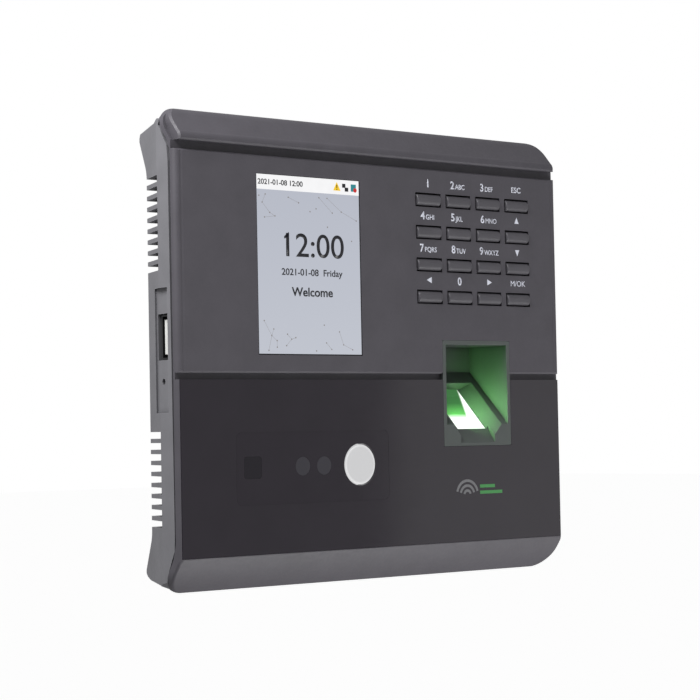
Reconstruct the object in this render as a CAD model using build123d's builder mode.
"""Wall-mounted face and fingerprint terminal: a plate-like front shell over a vented rear shell.

Frame: +X right, +Z up, the front looks along -Y. The wall is the plane Y = 0 and the origin is
on it at the centre of the four wall-screw holes. Places on the front are (x, z), and "depth" is
the distance behind the flat front plane.
"""

import os

from build123d import *

os.makedirs("parts", exist_ok=True)

# Overall size
WIDTH = 167.5
FRONT = 31.0  # wall to the flat front plane
HALF = WIDTH / 2
BODY_TOP = 74.4
BASE = -75.6
TOP_CORNER = 5.0
BASE_CORNER = 7.0
WALL = 2.2  # moulded wall thickness

# Front shell
SLAB_BACK = 3.0  # depth of the back of the front shell's plate
SHADOW_GAP = 4.0  # how far the shell is set in between the two shells' edges
RIM_POCKET_X = 77.5
RIM_POCKET_Z = (-60.0, 60.4)
CROWN_GROOVE = (62.0, 64.8)
GROOVE_DEPTH = 2.0
SEAM = (-9.4, -7.3)
SEAM_DEPTH = 1.5
BEZEL_TOP = -64.9
BEZEL_BACK = 9.6
EDGE_ROUND = 1.7  # along the straight sides
END_ROUND = 0.9  # at the ends of the bezel
SOFT_EDGE = 0.5  # bevel on the edges that face the groove and the seam
VALLEY_X = 81.3
VALLEY_HALF = 0.7
VALLEY_DEPTH = 0.15

# Crown: a raised block above the groove
CROWN_X = 82.4
CROWN_TOP = 75.8
CROWN_START = 60.0  # the block is drawn down to here before the groove is cut under it
CROWN_CORNER = 5.5
CROWN_PROUD = 1.0
CROWN_BACK = 9.8
CROWN_BEVEL = 0.6

# Lower window
WINDOW_X = (-82.8, 82.8)
WINDOW_Z = (-64.6, -9.4)
WINDOW_THICK = 1.5
OPTICS_X = (-61.5, 2.0)
OPTICS_Z = (-49.0, -26.1)
OPTICS_MID_Z = -37.2
OPTICS_THICK = 0.7
DISC_X = -10.4
DISC_R = 6.6
IR_X = (-34.7, -25.8)
IR_R = 3.0
CAMERA_X = -55.0
CAMERA_SIDE = 7.0

# Display
DISPLAY_X = (-51.8, -8.6)
DISPLAY_Z = (-1.5, 56.1)
DISPLAY_THICK = 1.2
LCD_X = (-55.2, -5.2)
LCD_Z = (-6.6, 60.0)

# Keypad
KEY_COLUMNS = (22.1, 36.0, 50.0, 64.0)
KEY_ROWS = (51.5, 40.5, 29.5, 18.6)
KEY_NAMES = (
    ("1", "2", "3", "esc"),
    ("4", "5", "6", "up"),
    ("7", "8", "9", "down"),
    ("left", "0", "right", "ok"),
)
KEY_HOLE = (11.7, 4.8)
KEY_GAP = 0.45
KEY_PROUD = 0.9
KEY_ROLL = 1.75  # rounding of the long edges, which makes the cap a low roll
KEY_END = 0.5  # rounding round the ends of the roll
KEY_FLANGE = 0.7  # how far the hidden flange reaches past the cap
KEY_FLANGE_DEPTH = (3.1, 3.9)
STEM_R = 1.2
STEM_END = 5.2
KEYPAD_X = (13.6, 72.6)
KEYPAD_Z = (10.5, 58.6)
MAT_DEPTH = (5.0, 5.6)
DOME_DEPTH = (6.4, 6.9)
KEYPAD_PCB_DEPTH = (6.9, 8.1)
KEYPAD_SCREW_X = (15.5, 70.7)
KEYPAD_SCREW_Z = (12.4, 56.7)
KEYPAD_SCREW_R = 0.9

# Fingerprint module
FINGER_X = (27.4, 59.0)
FINGER_Z = (-32.0, 4.0)
FINGER_MID = 43.2
FINGER_BACK = 19.8
WELL_X = (28.8, 57.6)
WELL_TOP = 2.6
WELL_BACK = 18.6
CHEEK_START = -24.8  # height where the plane of the cheeks meets the front plane
PLATEN_START = -29.4  # height where the plane of the glass meets the front plane
GLASS_HALF = 6.5
GLASS_DEPTH = (3.2, 17.6)
SCOOP_FLOOR_HALF = 7.0
SCOOP_TOP_HALF = 11.4

# Rear shell
REAR_INNER = 21.0
REAR_OUTER = 23.2
REAR_BEND = 7.0
REAR_HOLES = (19.0, 26.0)  # depths that cut right through the back wall
VENT_COUNT = 9
VENT_PITCH = 3.47
VENT_HIGH = 2.1
VENT_TOPS = (54.8, -25.4)
VENT_FRONT = 11.3
VENT_INNER_X = 73.8
RECESS_Z = (-19.6, 19.4)
RECESS_DEPTH = (6.0, 15.8)
RECESS_FLOOR = (-81.9, -79.9)  # x of the recess floor at its front and back edge
USB_Z = (-3.1, 11.4)
USB_DEPTH = (7.6, 14.9)
USB_SHELL_X = (-79.6, -62.0)
USB_SHELL_Z = (-2.7, 11.0)
USB_SHELL_DEPTH = (8.2, 13.6)
USB_TONGUE_DEPTH = (10.4, 12.2)
RESET_Z = -9.9
RESET_DEPTH = 11.2
RESET_R = 1.1
RESET_BUTTON_R = 1.6
BAY_X = (-40.0, 16.0)
BAY_Z = (-56.0, -23.0)
BAY_FLOOR = (8.6, 10.0)

SPEAKER = (50.0, 20.0)
SPEAKER_R = 13.0
TAMPER = (10.0, 34.0)
TAMPER_R = 1.6

# Connectors at the bottom edge of the main board
JACK_X = (-36.0, -20.0)
JACK_Z = (-22.8, -1.6)
JACK_DEPTH = (7.0, 20.2)
HEADER_X = (-8.5, 6.0)
HEADER_WIDE = 12.5
HEADER_Z = (-22.8, -14.0)
HEADER_DEPTH = (15.2, 20.2)

# Fixings
SHELL_SCREWS = ((-68.0, 64.0), (68.0, 64.0), (-68.0, -64.0), (68.0, -64.0))
SHELL_SCREW_R = 1.4
BOSS_R = 3.4
BOSS_SPLIT = 12.0
SHELL_SCREW_SEAT = 17.0
BOARD_X = (-69.0, 23.0)
BOARD_Z = (-20.5, 57.0)
BOARD_DEPTH = (13.6, 15.2)
BOARD_SCREW_R = 1.2
BOARD_SCREWS = ((-65.0, 53.0), (19.0, 53.0), (-65.0, -17.0), (19.0, -17.0))

# Wall plate
PLATE_X = 62.0
PLATE_Z = (-50.0, 46.0)
CABLE_X = (-38.0, 14.0)
CABLE_Z = (-46.0, -16.0)
PLATE_THICK = 1.5
WALL_HOLES = (100.0, 60.0)
WALL_HOLE_R = 2.25
HOOK_X = 50.0
HOOK_ROWS = (38.0, -44.0)
HOOK_WIDE = 8.0
HOOK_TIP = (19.3, 20.8)
LOCK_X = 34.0
LOCK_DEPTH = 26.2


def place(depth):
    """A sketch plane parallel to the front, looking out of it, at a depth behind the front plane."""
    return Plane.XZ.offset(FRONT - depth)


def profile_point(depth, z):
    """A point of a side profile, on the plane that cuts the terminal from front to back."""
    return (depth - FRONT, z)


def block(x, z, depth, mode=Mode.ADD):
    """A plain box between pairs of x, z and depth values."""
    centre = (sum(x) / 2, sum(depth) / 2 - FRONT, sum(z) / 2)
    with Locations(centre):
        Box(x[1] - x[0], depth[1] - depth[0], z[1] - z[0], mode=mode)


def post(x, z, depth, radius, mode=Mode.ADD):
    """A round post or hole along Y between two depths."""
    with Locations((x, sum(depth) / 2 - FRONT, z)):
        Cylinder(radius, depth[1] - depth[0], rotation=(90, 0, 0), mode=mode)


def rounded_block(x, z, depth, radius, mode=Mode.ADD):
    """A box with its four front-to-back edges rounded."""
    with BuildSketch(place(depth[0])) as face:
        with Locations((sum(x) / 2, sum(z) / 2)):
            RectangleRounded(x[1] - x[0], z[1] - z[0], radius)
    extrude(face.sketch, amount=depth[0] - depth[1], mode=mode)


def finish(part, name):
    """Labels a finished piece and writes it to its own file."""
    part.label = name
    export_step(part, f"parts/{name}.step")


# ---------------------------------------------------------------- shell profiles

# The front shell's rear edge, seen from the side: down the top, then down the bottom
STRIP_TOP = ((8.9, 72.35), (7.6, 70.9), (6.9, 68.9), (3.8, 65.1), (2.2, 61.5))
STRIP_BOTTOM = ((2.2, -60.1), (3.6, -64.8), (5.5, -67.9), (7.2, -70.4), (7.8, -72.6))
# The rear shell's front edge, behind the shadow gap
PARTING_TOP = ((10.3, 70.35), (9.0, 68.8), (5.1, 63.4), (4.4, 58.6))
PARTING_BOTTOM = ((3.5, -57.0), (3.8, -62.3), (7.1, -67.9), (8.5, -70.5), (8.7, -72.6))
# The slope of the body that the crown sits on
CROWN_SEAT = (
    (-3.0, 62.8), (0.0, 62.8), (2.0, 64.8), (4.7, 68.3), (6.6, 72.2), (7.4, 74.0), (9.2, BODY_TOP),
    (9.2, BODY_TOP + 2), (-3.0, BODY_TOP + 2),
)


def front_outline(inset):
    """The terminal's outline from the front, made smaller all round by an inset."""
    with BuildSketch(Plane.XZ) as outline:
        with Locations((0, (BODY_TOP + BASE) / 2)):
            Rectangle(WIDTH, BODY_TOP - BASE)
        fillet(outline.vertices().group_by(Axis.Y)[-1], TOP_CORNER)
        fillet(outline.vertices().group_by(Axis.Y)[0], BASE_CORNER)
        if inset:
            offset(amount=-inset)
    return outline.sketch


def side_prism(points):
    """The full-width prism of a side profile given as (depth, z) points."""
    with BuildPart() as prism:
        with BuildSketch(Plane.YZ) as profile:
            with BuildLine():
                Polyline(*(profile_point(*point) for point in points), close=True)
            make_face()
        extrude(amount=HALF + 2, both=True)
    return prism.part


def bevel_cut(z, direction):
    """The small triangle that takes the sharp edge off the front plane above or below a gap."""
    return side_prism(((-0.1, z), (-0.1, z + direction * (SOFT_EDGE + 0.1)), (SOFT_EDGE, z)))


# ---------------------------------------------------------------- front shell

with BuildPart() as crown_block:
    with BuildSketch(Plane.YZ):
        with BuildLine():
            Line(profile_point(-CROWN_PROUD, CROWN_START), profile_point(-CROWN_PROUD, 65.8))
            ThreePointArc(
                profile_point(-CROWN_PROUD, 65.8), profile_point(-0.7, 66.9), profile_point(0.0, 67.7)
            )
            Line(profile_point(0.0, 67.7), profile_point(5.2, 73.7))
            ThreePointArc(
                profile_point(5.2, 73.7), profile_point(7.2, 75.2), profile_point(CROWN_BACK, CROWN_TOP)
            )
            Polyline(
                profile_point(CROWN_BACK, CROWN_TOP),
                profile_point(CROWN_BACK, 72.6),
                profile_point(8.4, 72.6),
                profile_point(GROOVE_DEPTH + 0.4, CROWN_GROOVE[1]),
                profile_point(GROOVE_DEPTH + 0.4, CROWN_START),
                profile_point(-CROWN_PROUD, CROWN_START),
            )
        make_face()
    extrude(amount=CROWN_X, both=True)
    with BuildSketch(Plane.XZ) as crown_face:
        with Locations((0, CROWN_TOP - 15)):
            RectangleRounded(2 * CROWN_X, 30, CROWN_CORNER)
    extrude(crown_face.sketch, amount=FRONT + 5, mode=Mode.INTERSECT)

    def on_crown_end(edge):
        """True for the edges that run round an end of the crown's front."""
        middle = edge @ 0.5
        along_y = abs((edge @ 1 - edge @ 0).Y) > 0.999 * edge.length
        in_front = middle.Y + FRONT < 0.9 * max(middle.Z - 66.0, 0) + 0.5
        return abs(middle.X) > CROWN_X - CROWN_CORNER and in_front and not along_y

    chamfer(crown_block.edges().filter_by(on_crown_end), CROWN_BEVEL)
    block((-HALF, HALF), (CROWN_START - 1, CROWN_GROOVE[1]), (-3, 6), mode=Mode.SUBTRACT)
    add(bevel_cut(CROWN_GROOVE[1], 1).translate((0, -CROWN_PROUD, 0)), mode=Mode.SUBTRACT)

with BuildPart() as shell_rim:
    add(side_prism(
        [(depth - 1, z) for depth, z in STRIP_TOP + STRIP_BOTTOM]
        + list(reversed(PARTING_TOP + PARTING_BOTTOM))
    ))
    extrude(front_outline(SHADOW_GAP), amount=FRONT + 5, mode=Mode.INTERSECT)
    block((-RIM_POCKET_X, RIM_POCKET_X), RIM_POCKET_Z, (SLAB_BACK, 8), mode=Mode.SUBTRACT)

with BuildPart() as front_shell:
    with BuildSketch(Plane.YZ):
        with BuildLine():
            ThreePointArc(
                profile_point(BEZEL_BACK, BASE), profile_point(4.3, -70.8), profile_point(0, BEZEL_TOP)
            )
            Polyline(
                profile_point(0, BEZEL_TOP),
                profile_point(0, BODY_TOP),
                profile_point(9.0, BODY_TOP),
                *(profile_point(*point) for point in STRIP_TOP + STRIP_BOTTOM),
                profile_point(9.9, -74.3),
                profile_point(9.9, BASE),
                profile_point(BEZEL_BACK, BASE),
            )
        make_face()
    extrude(amount=HALF, both=True)
    extrude(front_outline(0), amount=FRONT + 5, mode=Mode.INTERSECT)

    def on_side_edge(edge):
        """True for the edges where the side strips meet the front, left and right."""
        middle = edge @ 0.5
        along_y = abs((edge @ 1 - edge @ 0).Y) > 0.999 * edge.length
        in_front = middle.Y + FRONT < 1 + 0.75 * max(BEZEL_TOP - middle.Z, 0)
        return abs(middle.X) > 76 and in_front and not along_y and edge.length > 1

    side_edges = front_shell.edges().filter_by(on_side_edge)
    fillet(side_edges.filter_by(lambda edge: (edge @ 0.5).Z > BEZEL_TOP), EDGE_ROUND)
    side_edges = front_shell.edges().filter_by(on_side_edge)
    fillet(side_edges.filter_by(lambda edge: (edge @ 0.5).Z < BEZEL_TOP - 1), END_ROUND)

    add(side_prism(CROWN_SEAT), mode=Mode.SUBTRACT)
    add(shell_rim.part)
    block((-HALF, HALF), CROWN_GROOVE, (-2, GROOVE_DEPTH), mode=Mode.SUBTRACT)
    add(crown_block.part)
    block((-HALF, HALF), SEAM, (-1, SEAM_DEPTH), mode=Mode.SUBTRACT)
    add(bevel_cut(CROWN_GROOVE[0], -1), mode=Mode.SUBTRACT)
    add(bevel_cut(SEAM[1], 1), mode=Mode.SUBTRACT)
    # A shallow valley runs down beside each rounded edge of the upper panel
    with BuildSketch(Plane.XY.offset(SEAM[1])) as valley:
        with BuildLine():
            Polyline(
                (VALLEY_X - VALLEY_HALF, -FRONT - 0.02),
                (VALLEY_X + VALLEY_HALF, -FRONT - 0.02),
                (VALLEY_X, VALLEY_DEPTH - FRONT),
                close=True,
            )
        make_face()
        mirror(about=Plane.YZ)
    extrude(valley.sketch, amount=CROWN_GROOVE[0] - SEAM[1], mode=Mode.SUBTRACT)
    block((WINDOW_X[0] - 0.1, WINDOW_X[1] + 0.1), (WINDOW_Z[0] - 0.1, SEAM[0] + 0.1), (-1, WINDOW_THICK),
          mode=Mode.SUBTRACT)

    # Display seat and the opening behind it
    block((DISPLAY_X[0] - 0.1, DISPLAY_X[1] + 0.1), (DISPLAY_Z[0] - 0.1, DISPLAY_Z[1] + 0.1),
          (-1, DISPLAY_THICK), mode=Mode.SUBTRACT)
    block((DISPLAY_X[0] + 1, DISPLAY_X[1] - 1), (DISPLAY_Z[0] + 1, DISPLAY_Z[1] - 1), (0, 4),
          mode=Mode.SUBTRACT)

    for column in KEY_COLUMNS:
        for row in KEY_ROWS:
            half_wide, half_high = KEY_HOLE[0] / 2, KEY_HOLE[1] / 2
            block((column - half_wide, column + half_wide), (row - half_high, row + half_high), (-1, 4),
                  mode=Mode.SUBTRACT)

    block((FINGER_X[0] - 0.1, FINGER_X[1] + 0.1), (FINGER_Z[0] - 0.1, FINGER_Z[1] + 0.1), (-1, 4),
          mode=Mode.SUBTRACT)

    # Light paths behind the lower window
    post(DISC_X, OPTICS_MID_Z, (-1, 4), DISC_R + 0.3, mode=Mode.SUBTRACT)
    for x in IR_X:
        post(x, OPTICS_MID_Z, (-1, 4), IR_R - 0.3, mode=Mode.SUBTRACT)
    post(CAMERA_X, OPTICS_MID_Z, (-1, 4), CAMERA_SIDE / 2, mode=Mode.SUBTRACT)

    # Bosses for the shell screws and the keypad board
    for x, z in SHELL_SCREWS:
        post(x, z, (SLAB_BACK - 0.1, BOSS_SPLIT), BOSS_R)
        post(x, z, (BOSS_SPLIT - 7, BOSS_SPLIT), SHELL_SCREW_R + 0.05, mode=Mode.SUBTRACT)
    for x in KEYPAD_SCREW_X:
        for z in KEYPAD_SCREW_Z:
            post(x, z, (SLAB_BACK - 0.1, KEYPAD_PCB_DEPTH[0]), 1.9)
            post(x, z, (SLAB_BACK + 0.4, KEYPAD_PCB_DEPTH[0]), KEYPAD_SCREW_R + 0.05, mode=Mode.SUBTRACT)
finish(front_shell.part, "front_shell")

# ---------------------------------------------------------------- lower window

with BuildPart() as window_lens:
    block(WINDOW_X, WINDOW_Z, (0, WINDOW_THICK))
    block((FINGER_X[0] - 0.1, FINGER_X[1] + 0.1), (FINGER_Z[0] - 0.1, 0), (-1, 4), mode=Mode.SUBTRACT)
    rounded_block((OPTICS_X[0] - 0.05, OPTICS_X[1] + 0.05), (OPTICS_Z[0] - 0.05, OPTICS_Z[1] + 0.05),
                  (-1, OPTICS_THICK), 2.05, mode=Mode.SUBTRACT)
    post(DISC_X, OPTICS_MID_Z, (0, 2), DISC_R + 0.3, mode=Mode.SUBTRACT)
    for x in IR_X:
        post(x, OPTICS_MID_Z, (0, 2), IR_R - 0.3, mode=Mode.SUBTRACT)
finish(window_lens.part, "window_lens")

with BuildPart() as optics_inlay:
    rounded_block(OPTICS_X, OPTICS_Z, (0.03, OPTICS_THICK), 2)
    post(DISC_X, OPTICS_MID_Z, (-1, 2), DISC_R + 0.3, mode=Mode.SUBTRACT)
    for x in IR_X:
        post(x, OPTICS_MID_Z, (-1, 2), IR_R + 0.05, mode=Mode.SUBTRACT)
    rounded_block((CAMERA_X - CAMERA_SIDE / 2, CAMERA_X + CAMERA_SIDE / 2),
                  (OPTICS_MID_Z - CAMERA_SIDE / 2, OPTICS_MID_Z + CAMERA_SIDE / 2), (-1, 2), 1,
                  mode=Mode.SUBTRACT)
finish(optics_inlay.part, "optics_inlay")

with BuildPart() as ir_windows:
    for x in IR_X:
        post(x, OPTICS_MID_Z, (0.05, OPTICS_THICK), IR_R)
finish(ir_windows.part, "ir_windows")

with BuildPart() as camera_window:
    half_side = CAMERA_SIDE / 2 - 0.05
    rounded_block((CAMERA_X - half_side, CAMERA_X + half_side),
                  (OPTICS_MID_Z - half_side, OPTICS_MID_Z + half_side), (0.05, OPTICS_THICK), 0.95)
finish(camera_window.part, "camera_window")

with BuildPart() as light_diffuser:
    post(DISC_X, OPTICS_MID_Z, (0, 3.9), DISC_R)
    post(DISC_X, OPTICS_MID_Z, (3.1, 3.9), DISC_R + 1)
    chamfer(light_diffuser.edges().group_by(Axis.Y)[0], 0.4)
finish(light_diffuser.part, "light_diffuser")

# ---------------------------------------------------------------- optics behind the window

with BuildPart() as camera_module:
    block((CAMERA_X - 4.2, CAMERA_X + 4.2), (OPTICS_MID_Z - 4.2, OPTICS_MID_Z + 4.2), (3.1, 7.0))
    post(CAMERA_X, OPTICS_MID_Z, (1.7, 3.1), 3.1)
    post(CAMERA_X, OPTICS_MID_Z, (1.6, 2.4), 1.6, mode=Mode.SUBTRACT)
    block((CAMERA_X - 5.2, CAMERA_X + 5.2), (OPTICS_MID_Z - 5.2, OPTICS_MID_Z + 5.2), (7.0, 8.0))
finish(camera_module.part, "camera_module")

with BuildPart() as ir_leds:
    for x in IR_X:
        post(x, OPTICS_MID_Z, (2.0, 6.5), 2.5)
finish(ir_leds.part, "ir_leds")

with BuildPart() as white_leds:
    for x in (DISC_X - 3.2, DISC_X + 3.2):
        for z in (OPTICS_MID_Z - 3.2, OPTICS_MID_Z + 3.2):
            block((x - 1.4, x + 1.4), (z - 1.4, z + 1.4), (5.7, 6.5))
finish(white_leds.part, "white_leds")

with BuildPart() as light_board:
    block((-40.0, -1.0), (-46.5, -28.0), (6.5, 7.7))
finish(light_board.part, "light_board")

# ---------------------------------------------------------------- display

with BuildPart() as display_lens:
    block(DISPLAY_X, DISPLAY_Z, (0, DISPLAY_THICK))
finish(display_lens.part, "display_lens")

with BuildPart() as display_gasket:
    block((LCD_X[0] + 1, LCD_X[1] - 1), (LCD_Z[0] + 1, LCD_Z[1] - 1), (3.0, 3.5))
    block((DISPLAY_X[0], DISPLAY_X[1]), (DISPLAY_Z[0], DISPLAY_Z[1]), (2, 4), mode=Mode.SUBTRACT)
finish(display_gasket.part, "display_gasket")

with BuildPart() as lcd_panel:
    block((LCD_X[0] + 0.6, LCD_X[1] - 0.6), (LCD_Z[0] + 0.6, LCD_Z[1] - 0.6), (3.5, 4.7))
finish(lcd_panel.part, "lcd_panel")

with BuildPart() as lcd_frame:
    block(LCD_X, LCD_Z, (3.5, 6.2))
    block((LCD_X[0] + 0.6, LCD_X[1] - 0.6), (LCD_Z[0] + 0.6, LCD_Z[1] - 0.6), (3.0, 4.7),
          mode=Mode.SUBTRACT)
finish(lcd_frame.part, "lcd_frame")

# ---------------------------------------------------------------- keypad


def make_key(x, z):
    """One key cap: a rounded bar with a hidden flange that keeps it in, and a stem."""
    half_wide = KEY_HOLE[0] / 2 - KEY_GAP
    half_high = KEY_HOLE[1] / 2 - KEY_GAP
    with BuildPart() as key:
        block((x - half_wide, x + half_wide), (z - half_high, z + half_high),
              (-KEY_PROUD, KEY_FLANGE_DEPTH[0]))
        front_edges = key.faces().sort_by(Axis.Y)[0].edges()
        fillet(front_edges.filter_by(Axis.X), KEY_ROLL)
        end_edges = key.edges().filter_by(
            lambda edge: abs(abs((edge @ 0.5).X - x) - half_wide) < 0.01 and (edge @ 0.5).Y + FRONT < KEY_ROLL
        )
        fillet(end_edges.filter_by(lambda edge: abs((edge @ 0.5).Y + FRONT) < KEY_PROUD + 0.1), KEY_END)
        block((x - half_wide - KEY_FLANGE, x + half_wide + KEY_FLANGE),
              (z - half_high - KEY_FLANGE, z + half_high + KEY_FLANGE), KEY_FLANGE_DEPTH)
        post(x, z, (KEY_FLANGE_DEPTH[1], STEM_END), STEM_R)
    return key.part


for row, names in zip(KEY_ROWS, KEY_NAMES):
    for column, name in zip(KEY_COLUMNS, names):
        finish(make_key(column, row), f"key_{name}")

with BuildPart() as keypad_mat:
    block((KEYPAD_X[0] + 0.6, KEYPAD_X[1] - 0.6), (KEYPAD_Z[0] + 0.4, KEYPAD_Z[1] - 0.4),
          (MAT_DEPTH[0], KEYPAD_PCB_DEPTH[0]))
    for x in KEY_COLUMNS:
        for z in KEY_ROWS:
            post(x, z, (MAT_DEPTH[0] - 1, MAT_DEPTH[1] + 0.1), STEM_R + 0.5, mode=Mode.SUBTRACT)
            post(x, z, (MAT_DEPTH[1], KEYPAD_PCB_DEPTH[0] + 1), 4.2, mode=Mode.SUBTRACT)
    for x in KEYPAD_SCREW_X:
        for z in KEYPAD_SCREW_Z:
            post(x, z, (MAT_DEPTH[0] - 1, KEYPAD_PCB_DEPTH[0] + 1), 2.2, mode=Mode.SUBTRACT)
finish(keypad_mat.part, "keypad_mat")

with BuildPart() as key_domes:
    for x in KEY_COLUMNS:
        for z in KEY_ROWS:
            post(x, z, DOME_DEPTH, 3.0)
finish(key_domes.part, "key_domes")

with BuildPart() as keypad_board:
    block(KEYPAD_X, KEYPAD_Z, KEYPAD_PCB_DEPTH)
    for x in KEYPAD_SCREW_X:
        for z in KEYPAD_SCREW_Z:
            post(x, z, (5, 10), KEYPAD_SCREW_R + 0.1, mode=Mode.SUBTRACT)
finish(keypad_board.part, "keypad_board")

with BuildPart() as keypad_screws:
    for x in KEYPAD_SCREW_X:
        for z in KEYPAD_SCREW_Z:
            post(x, z, (SLAB_BACK + 0.8, KEYPAD_PCB_DEPTH[1]), KEYPAD_SCREW_R)
            post(x, z, (KEYPAD_PCB_DEPTH[1], KEYPAD_PCB_DEPTH[1] + 1.2), 2 * KEYPAD_SCREW_R)
finish(keypad_screws.part, "keypad_screws")

# ---------------------------------------------------------------- fingerprint module


def slope_point(depth, start):
    """A (depth, z) point on a 45 degree plane that meets the front plane at height start."""
    return (depth, start + depth)


PRISM_PROFILE = (
    slope_point(GLASS_DEPTH[0], PLATEN_START),
    slope_point(GLASS_DEPTH[1], PLATEN_START),
    (GLASS_DEPTH[1], PLATEN_START + GLASS_DEPTH[0]),
)


def module_prism(points, half_width):
    """A prism across the fingerprint module with a side profile of (depth, z) points."""
    with BuildPart() as prism:
        with BuildSketch(Plane.YZ.offset(FINGER_MID)):
            with BuildLine():
                Polyline(*(profile_point(*point) for point in points), close=True)
            make_face()
        extrude(amount=half_width, both=True)
    return prism.part


scoop_start = Vector(FINGER_MID, -FRONT - 3, PLATEN_START - 3)
scoop_length = (WELL_BACK + 3 - 1.6) * 2**0.5
cheek_height = (CHEEK_START - PLATEN_START) / 2**0.5 + 1
scoop_flare = (SCOOP_TOP_HALF - SCOOP_FLOOR_HALF) * cheek_height / (cheek_height - 1)

with BuildPart() as fingerprint_housing:
    rounded_block(FINGER_X, FINGER_Z, (0, FINGER_BACK), 0.4)
    with BuildSketch(Plane.YZ.offset(WELL_X[0])) as well:
        with BuildLine():
            Polyline(
                profile_point(-1, WELL_TOP),
                profile_point(WELL_BACK, WELL_TOP),
                profile_point(*slope_point(WELL_BACK, CHEEK_START)),
                profile_point(*slope_point(-1, CHEEK_START)),
                close=True,
            )
        make_face()
    extrude(amount=WELL_X[1] - WELL_X[0], mode=Mode.SUBTRACT)
    # The finger's scoop runs down the slope between two cheeks
    with BuildSketch(Plane(origin=scoop_start, x_dir=(1, 0, 0), z_dir=(0, 1, 1))):
        with BuildLine():
            Polyline(
                (-SCOOP_FLOOR_HALF, 0),
                (SCOOP_FLOOR_HALF, 0),
                (SCOOP_FLOOR_HALF + scoop_flare, -cheek_height),
                (-SCOOP_FLOOR_HALF - scoop_flare, -cheek_height),
                close=True,
            )
        make_face()
    extrude(amount=scoop_length, mode=Mode.SUBTRACT)
    # The lip below the glass is steeper and wider than the scoop
    lip = ((-1, -32.6), (-1, -24), (GLASS_DEPTH[0], -24), slope_point(GLASS_DEPTH[0], PLATEN_START))
    add(module_prism(lip, SCOOP_FLOOR_HALF + 1), mode=Mode.SUBTRACT)
    add(module_prism(PRISM_PROFILE, GLASS_HALF), mode=Mode.SUBTRACT)
    # Room for the sensor board below the prism, open at the back
    block((FINGER_MID - 10, FINGER_MID + 10), (-31.0, PLATEN_START + GLASS_DEPTH[0]), (5.5, FINGER_BACK + 1),
          mode=Mode.SUBTRACT)
finish(fingerprint_housing.part, "fingerprint_housing")

with BuildPart() as fingerprint_prism:
    add(module_prism(PRISM_PROFILE, GLASS_HALF))
finish(fingerprint_prism.part, "fingerprint_prism")

with BuildPart() as fingerprint_board:
    block((FINGER_MID - 9.6, FINGER_MID + 9.6), (-30.8, -29.6), (5.9, FINGER_BACK - 0.3))
finish(fingerprint_board.part, "fingerprint_board")

with BuildPart() as fingerprint_sensor:
    block((FINGER_MID - 3, FINGER_MID + 3), (-29.6, -27.6), (8.5, 14.5))
finish(fingerprint_sensor.part, "fingerprint_sensor")

with BuildPart() as fingerprint_leds:
    for x in (-7.0, 7.0):
        for depth in (8.0, 15.0):
            block((FINGER_MID + x - 0.8, FINGER_MID + x + 0.8), (-29.6, -28.4), (depth - 0.8, depth + 0.8))
finish(fingerprint_leds.part, "fingerprint_leds")

# ---------------------------------------------------------------- rear shell

REAR_TOP = (
    (REAR_OUTER, 57.0), (31.0, 67.6), (31.0, 69.0), (30.0, 70.1), (18.2, 71.0), (13.6, 71.3),
    (10.9, 72.5), (9.2, 72.3),
)
REAR_BOTTOM = (
    (10.3, -74.3), (11.2, -74.0), (13.8, -73.2), (25.4, -72.2), (28.8, -71.3), (30.4, -70.3),
    (30.4, -69.2), (REAR_OUTER, -58.5),
)
CAVITY = (
    (-2.0, 68.8), (13.2, 68.8), (26.6, 67.6), (REAR_INNER, 58.2),
    (REAR_INNER, -59.3), (26.2, -67.0), (25.4, -69.4), (12.0, -71.0), (-2.0, -71.0),
)
REAR_PLAN = ((1.0, 83.5), (11.5, 82.2), (22.5, 78.0), (31.5, 74.6))


def plan_prism(points):
    """A full-height prism whose plan is given on the right as (depth, x) points and mirrored."""
    right = [(x, depth - FRONT) for depth, x in points]
    left = [(-x, y) for x, y in reversed(right)]
    with BuildPart() as prism:
        with BuildSketch(Plane.XY.offset(-HALF)):
            with BuildLine():
                Polyline(*right, *left, close=True)
            make_face()
        extrude(amount=2 * HALF)
    return prism.part


with BuildPart() as rear_cavity:
    add(side_prism(CAVITY))
    add(plan_prism([(-3.0, 83.5 - WALL)] + [(depth, x - WALL) for depth, x in REAR_PLAN]),
        mode=Mode.INTERSECT)
    extrude(front_outline(2 + WALL), amount=FRONT + 5, mode=Mode.INTERSECT)
    # Places where the wall is thicker or carries a post stay solid
    block((-84, -77.6), (-22.5, 22.5), (4.6, 18.0), mode=Mode.SUBTRACT)
    for x, z in SHELL_SCREWS:
        post(x, z, (BOSS_SPLIT, 32), BOSS_R + 0.6, mode=Mode.SUBTRACT)
    for x, z in BOARD_SCREWS:
        post(x, z, (BOARD_DEPTH[1], REAR_INNER + 1), 2.6, mode=Mode.SUBTRACT)
    block((BAY_X[0] - 1.4, BAY_X[1] + 1.4), (BAY_Z[0] - 1.4, BAY_Z[1] + 1.4),
          (BAY_FLOOR[0], REAR_INNER + 1), mode=Mode.SUBTRACT)
    post(SPEAKER[0], SPEAKER[1], (17.0, REAR_INNER + 1), SPEAKER_R + 1.5, mode=Mode.SUBTRACT)
    post(SPEAKER[0], SPEAKER[1], (16.0, REAR_INNER), SPEAKER_R + 0.1)

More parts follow.
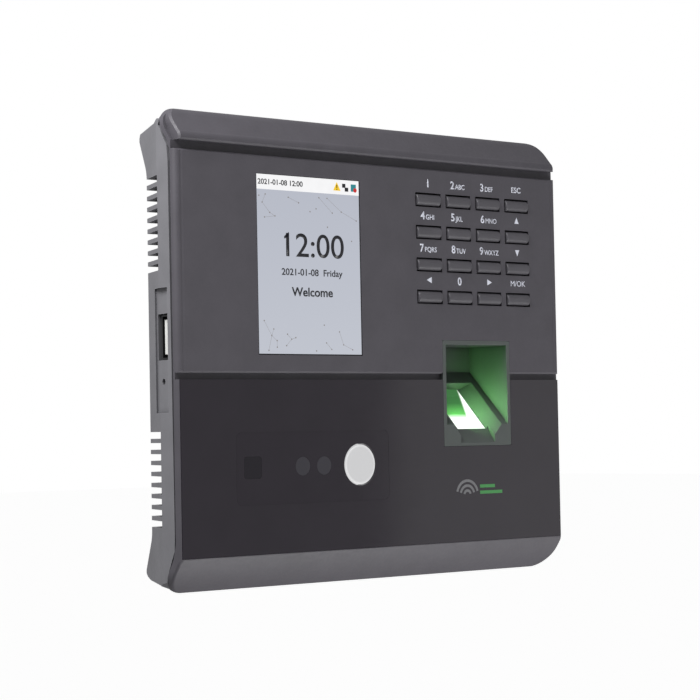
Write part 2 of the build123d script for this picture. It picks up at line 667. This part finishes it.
with BuildPart() as rear_shell:
    add(side_prism((*REAR_TOP, *PARTING_TOP, *PARTING_BOTTOM, *REAR_BOTTOM)))
    # The back runs out to the wall in soft bends above and below
    bends = rear_shell.edges().filter_by(Axis.X).filter_by(
        lambda e: abs((e @ 0.5).Y + FRONT - REAR_OUTER) < 0.1
    )
    fillet(bends, REAR_BEND)
    add(plan_prism(REAR_PLAN), mode=Mode.INTERSECT)
    extrude(front_outline(0.3), amount=FRONT + 5, mode=Mode.INTERSECT)
    add(rear_cavity.part, mode=Mode.SUBTRACT)

    # Vents wrap the two rear corners
    for top in VENT_TOPS:
        for i in range(VENT_COUNT):
            z_top = top - i * VENT_PITCH
            for side in (-1, 1):
                ends = sorted((side * VENT_INNER_X, side * 90))
                block(ends, (z_top - VENT_HIGH, z_top), (VENT_FRONT, 26), mode=Mode.SUBTRACT)

    # Service recess on the left with the USB opening and the reset pinhole
    with BuildSketch(Plane.XY.offset(RECESS_Z[0])):
        with BuildLine():
            Polyline(
                (-90, RECESS_DEPTH[0] - FRONT),
                (RECESS_FLOOR[0], RECESS_DEPTH[0] - FRONT),
                (RECESS_FLOOR[1], RECESS_DEPTH[1] - FRONT),
                (-90, RECESS_DEPTH[1] - FRONT),
                close=True,
            )
        make_face()
    extrude(amount=RECESS_Z[1] - RECESS_Z[0], mode=Mode.SUBTRACT)
    block((-90, -70), USB_Z, USB_DEPTH, mode=Mode.SUBTRACT)
    with Locations((-80, RESET_DEPTH - FRONT, RESET_Z)):
        Cylinder(RESET_R, 20, rotation=(0, 90, 0), mode=Mode.SUBTRACT)

    # Connector bay, with openings in its top wall for the jack and the headers
    block(BAY_X, BAY_Z, (BAY_FLOOR[1], 25), mode=Mode.SUBTRACT)
    block((JACK_X[0] - 0.2, JACK_X[1] + 0.2), (BAY_Z[1] - 0.1, BAY_Z[1] + 3),
          (JACK_DEPTH[0], JACK_DEPTH[1] + 0.1), mode=Mode.SUBTRACT)
    for x in HEADER_X:
        block((x - HEADER_WIDE / 2 - 0.2, x + HEADER_WIDE / 2 + 0.2), (BAY_Z[1] - 1, BAY_Z[1] + 3),
              (HEADER_DEPTH[0] - 0.2, HEADER_DEPTH[1] + 0.1), mode=Mode.SUBTRACT)

    for x, z in SHELL_SCREWS:
        post(x, z, (BOSS_SPLIT - 1, 32), SHELL_SCREW_R + 0.2, mode=Mode.SUBTRACT)
        post(x, z, (SHELL_SCREW_SEAT, 32), 3.0, mode=Mode.SUBTRACT)
    for x, z in BOARD_SCREWS:
        post(x, z, (BOARD_DEPTH[1] - 1, REAR_INNER), BOARD_SCREW_R + 0.05, mode=Mode.SUBTRACT)

    # Slots that drop over the wall plate's hooks, the tamper hole and the lock screw's hole
    for x in (-HOOK_X, HOOK_X):
        for z in HOOK_ROWS:
            block((x - HOOK_WIDE / 2 - 0.6, x + HOOK_WIDE / 2 + 0.6), (z - 6.2, z + 0.85), REAR_HOLES,
                  mode=Mode.SUBTRACT)
    post(TAMPER[0], TAMPER[1], REAR_HOLES, TAMPER_R + 0.3, mode=Mode.SUBTRACT)
    with Locations((LOCK_X, LOCK_DEPTH - FRONT, -66)):
        Cylinder(1.8, 24, mode=Mode.SUBTRACT)
    with Locations((LOCK_X, LOCK_DEPTH - FRONT, -77)):
        Cylinder(3.2, 17, mode=Mode.SUBTRACT)

    # Sound holes in front of the speaker
    for ring_radius, count in ((3.5, 6), (7.0, 12)):
        with BuildSketch(place(19)) as holes:
            with Locations(SPEAKER):
                with PolarLocations(ring_radius, count):
                    Circle(0.9)
        extrude(holes.sketch, amount=-6, mode=Mode.SUBTRACT)
finish(rear_shell.part, "rear_shell")

# ---------------------------------------------------------------- main board and what it carries

with BuildPart() as main_board:
    block(BOARD_X, BOARD_Z, BOARD_DEPTH)
    block((JACK_X[0] - 0.2, JACK_X[1] + 0.2), (BOARD_Z[0] - 1, JACK_Z[1] + 0.2), (13, 16),
          mode=Mode.SUBTRACT)
    for x, z in BOARD_SCREWS:
        post(x, z, (13, 16), BOARD_SCREW_R + 0.2, mode=Mode.SUBTRACT)
finish(main_board.part, "main_board")

with BuildPart() as board_screws:
    for x, z in BOARD_SCREWS:
        post(x, z, (BOARD_DEPTH[0], REAR_INNER - 0.4), BOARD_SCREW_R)
        post(x, z, (BOARD_DEPTH[0] - 1.6, BOARD_DEPTH[0]), 2.2)
finish(board_screws.part, "board_screws")

CHIPS = ((-40, 30, 14, 14, 1.4), (-18, 30, 12, 10, 1.2), (-52, 8, 10, 10, 1.4), (-8, 4, 8, 12, 2.2),
         (4, 14, 9, 7, 3.0), (-58, 40, 6, 8, 1.2))
with BuildPart() as board_chips:
    for x, z, wide, high, thick in CHIPS:
        block((x - wide / 2, x + wide / 2), (z - high / 2, z + high / 2),
              (BOARD_DEPTH[1], BOARD_DEPTH[1] + thick))
finish(board_chips.part, "board_chips")

with BuildPart() as relay:
    rounded_block((-60.0, -45.0), (-18.0, -8.0), (BOARD_DEPTH[0] - 5.5, BOARD_DEPTH[0]), 0.6)
finish(relay.part, "lock_relay")

with BuildPart() as backup_battery:
    rounded_block((-50.0, -8.0), (6.0, 50.0), (8.2, BOARD_DEPTH[0]), 2.5)
    fillet(backup_battery.edges().group_by(Axis.Y)[0], 1.5)
finish(backup_battery.part, "backup_battery")

with BuildPart() as ethernet_jack:
    block(JACK_X, JACK_Z, JACK_DEPTH)
    block((JACK_X[0] + 2.1, JACK_X[1] - 2.1), (JACK_Z[0] - 1, JACK_Z[0] + 14), (10.4, 18.4),
          mode=Mode.SUBTRACT)
    block((JACK_X[0] + 5.0, JACK_X[1] - 5.0), (JACK_Z[0] - 1, JACK_Z[0] + 14), (10.2, 20.2 - 0.4),
          mode=Mode.SUBTRACT)
finish(ethernet_jack.part, "ethernet_jack")

with BuildPart() as wiring_headers:
    for x in HEADER_X:
        block((x - HEADER_WIDE / 2, x + HEADER_WIDE / 2), HEADER_Z, HEADER_DEPTH)
        block((x - HEADER_WIDE / 2 + 0.8, x + HEADER_WIDE / 2 - 0.8), (HEADER_Z[0] - 1, HEADER_Z[0] + 6),
              (HEADER_DEPTH[0] + 0.8, HEADER_DEPTH[1] - 0.8), mode=Mode.SUBTRACT)
finish(wiring_headers.part, "wiring_headers")

with BuildPart() as header_pins:
    for x in HEADER_X:
        for i in range(5):
            pin_x = x + (i - 2) * 2.0
            block((pin_x - 0.3, pin_x + 0.3), (HEADER_Z[0] + 1.5, HEADER_Z[0] + 6), (17.4, 18.0))
finish(header_pins.part, "header_pins")

with BuildPart() as usb_shell:
    block(USB_SHELL_X, USB_SHELL_Z, USB_SHELL_DEPTH)
    block((USB_SHELL_X[0] - 1, USB_SHELL_X[1] - 0.4), (USB_SHELL_Z[0] + 0.4, USB_SHELL_Z[1] - 0.4),
          (USB_SHELL_DEPTH[0] + 0.4, USB_SHELL_DEPTH[1] - 0.4), mode=Mode.SUBTRACT)
finish(usb_shell.part, "usb_shell")

USB_MID_Z = sum(USB_SHELL_Z) / 2
with BuildPart() as usb_tongue:
    block((USB_SHELL_X[1] - 3.5, USB_SHELL_X[1] - 0.4), (USB_SHELL_Z[0] + 0.4, USB_SHELL_Z[1] - 0.4),
          (USB_SHELL_DEPTH[0] + 0.4, USB_SHELL_DEPTH[1] - 0.4))
    block((USB_SHELL_X[0] + 0.2, USB_SHELL_X[1] - 3.5), (USB_MID_Z - 5.4, USB_MID_Z + 5.4),
          USB_TONGUE_DEPTH)
finish(usb_tongue.part, "usb_tongue")

with BuildPart() as usb_contacts:
    for offset_z in (-3.5, -1.0, 1.0, 3.5):
        block((USB_SHELL_X[0] + 0.6, USB_SHELL_X[1] - 3.5),
              (USB_MID_Z + offset_z - 0.5, USB_MID_Z + offset_z + 0.5),
              (USB_TONGUE_DEPTH[0] - 0.2, USB_TONGUE_DEPTH[0]))
finish(usb_contacts.part, "usb_contacts")

with BuildPart() as reset_switch:
    block((-72.0, -67.4), (RESET_Z - 3, RESET_Z + 3), (6.4, BOARD_DEPTH[0]))
    with Locations((-71.1, RESET_DEPTH - FRONT, RESET_Z)):
        Cylinder(RESET_BUTTON_R + 0.3, 1.8, rotation=(0, 90, 0), mode=Mode.SUBTRACT)
finish(reset_switch.part, "reset_switch")

with BuildPart() as reset_plunger:
    with Locations((-73.2, RESET_DEPTH - FRONT, RESET_Z)):
        Cylinder(RESET_BUTTON_R, 5.2, rotation=(0, 90, 0))
finish(reset_plunger.part, "reset_plunger")

with BuildPart() as tamper_switch:
    block((TAMPER[0] - 3, TAMPER[0] + 3), (TAMPER[1] - 3, TAMPER[1] + 3), (BOARD_DEPTH[1], 18.6))
    post(TAMPER[0], TAMPER[1], (16.4, 19), TAMPER_R + 0.3, mode=Mode.SUBTRACT)
finish(tamper_switch.part, "tamper_switch")

with BuildPart() as tamper_plunger:
    post(TAMPER[0], TAMPER[1], (17.0, FRONT - PLATE_THICK), TAMPER_R)
    fillet(tamper_plunger.edges().group_by(Axis.Y)[-1], 0.6)
finish(tamper_plunger.part, "tamper_plunger")

with BuildPart() as speaker:
    post(SPEAKER[0], SPEAKER[1], (16.2, 19.6), SPEAKER_R)
    post(SPEAKER[0], SPEAKER[1], (13.4, 16.2), 7.0)
    post(SPEAKER[0], SPEAKER[1], (18.6, 20), SPEAKER_R - 1.5, mode=Mode.SUBTRACT)
finish(speaker.part, "speaker")

# ---------------------------------------------------------------- wall plate and screws

with BuildPart() as wall_plate:
    block((-PLATE_X, PLATE_X), PLATE_Z, (FRONT - PLATE_THICK, FRONT))
    rounded_block(CABLE_X, CABLE_Z, (FRONT - 3, FRONT + 1), 4, mode=Mode.SUBTRACT)
    for x in (-WALL_HOLES[0] / 2, WALL_HOLES[0] / 2):
        for z in (-WALL_HOLES[1] / 2, WALL_HOLES[1] / 2):
            post(x, z, (FRONT - 3, FRONT + 1), WALL_HOLE_R, mode=Mode.SUBTRACT)
    # Stiffening returns along both sides
    for ends in ((-PLATE_X, -PLATE_X + PLATE_THICK), (PLATE_X - PLATE_THICK, PLATE_X)):
        block(ends, (PLATE_Z[0] + 4, PLATE_Z[1] - 4), (FRONT - PLATE_THICK - 2, FRONT - PLATE_THICK))
    # Hooks: a tab bent forward whose tip turns up behind the shell's back
    for x in (-HOOK_X, HOOK_X):
        for z in HOOK_ROWS:
            wide = (x - HOOK_WIDE / 2, x + HOOK_WIDE / 2)
            block(wide, (z - 0.75, z + 0.75), (HOOK_TIP[0], FRONT - PLATE_THICK))
            block(wide, (z - 0.75, z + 4.0), HOOK_TIP)
    # Tab for the lock screw
    block((LOCK_X - 6, LOCK_X + 6), (PLATE_Z[0] - 1.5, PLATE_Z[0]), (23.2, FRONT))
    with Locations((LOCK_X, LOCK_DEPTH - FRONT, PLATE_Z[0] - 0.75)):
        Cylinder(1.55, 4, mode=Mode.SUBTRACT)
finish(wall_plate.part, "wall_plate")

with BuildPart() as lock_screw:
    with Locations((LOCK_X, LOCK_DEPTH - FRONT, -59.0)):
        Cylinder(1.5, 19.0)
    with Locations((LOCK_X, LOCK_DEPTH - FRONT, -69.4)):
        Cylinder(2.8, 1.8)
    with Locations((LOCK_X, LOCK_DEPTH - FRONT, -70.0)):
        Cylinder(1.0, 1.0, mode=Mode.SUBTRACT)
finish(lock_screw.part, "lock_screw")

with BuildPart() as shell_screws:
    for x, z in SHELL_SCREWS:
        post(x, z, (6.0, SHELL_SCREW_SEAT), SHELL_SCREW_R)
        post(x, z, (SHELL_SCREW_SEAT, SHELL_SCREW_SEAT + 1.8), 2.7)
        with BuildSketch(place(SHELL_SCREW_SEAT + 1.8)) as cross:
            with Locations((x, z)):
                Rectangle(3.0, 0.7)
                Rectangle(0.7, 3.0)
        extrude(cross.sketch, amount=1.0, mode=Mode.SUBTRACT)
finish(shell_screws.part, "shell_screws")
